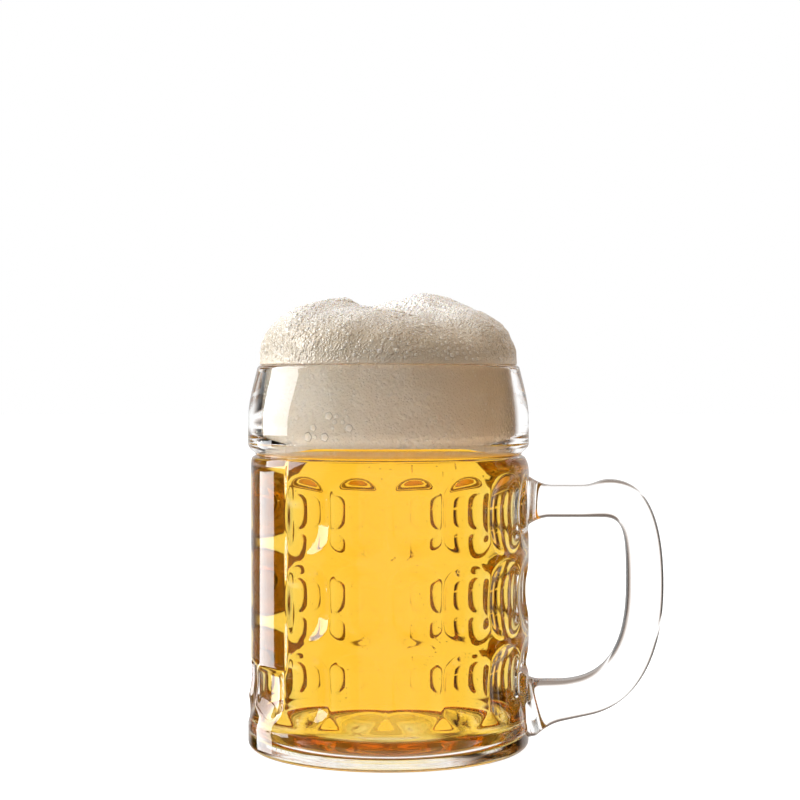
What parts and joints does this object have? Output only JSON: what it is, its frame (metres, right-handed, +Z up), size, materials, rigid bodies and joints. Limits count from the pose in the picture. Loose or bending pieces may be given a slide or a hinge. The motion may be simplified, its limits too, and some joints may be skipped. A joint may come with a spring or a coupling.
{
  "type": "beer mug",
  "caption": "Dimpled glass beer mug with a fused handle, a smooth panel and a bulging collar, filled with pale beer under a domed head of foam.",
  "frame": {"origin": "centre of the flat base, on the mug's axis, where it stands on the table", "axes": "+Z up along the mug's axis, +X from the axis towards the handle, +Y across the handle's plane, away from the picture's camera"},
  "size_m": [0.142, 0.096, 0.1548],
  "materials": {
    "clear_glass": "polished",
    "handle_glass": "polished",
    "pale_beer": "gloss",
    "cream_foam": "matte"
  },
  "bodies": {
    "root": {"glass_body": "clear_glass", "handle": "handle_glass", "beer": "pale_beer", "foam_head": "cream_foam"}
  },
  "joints": []
}
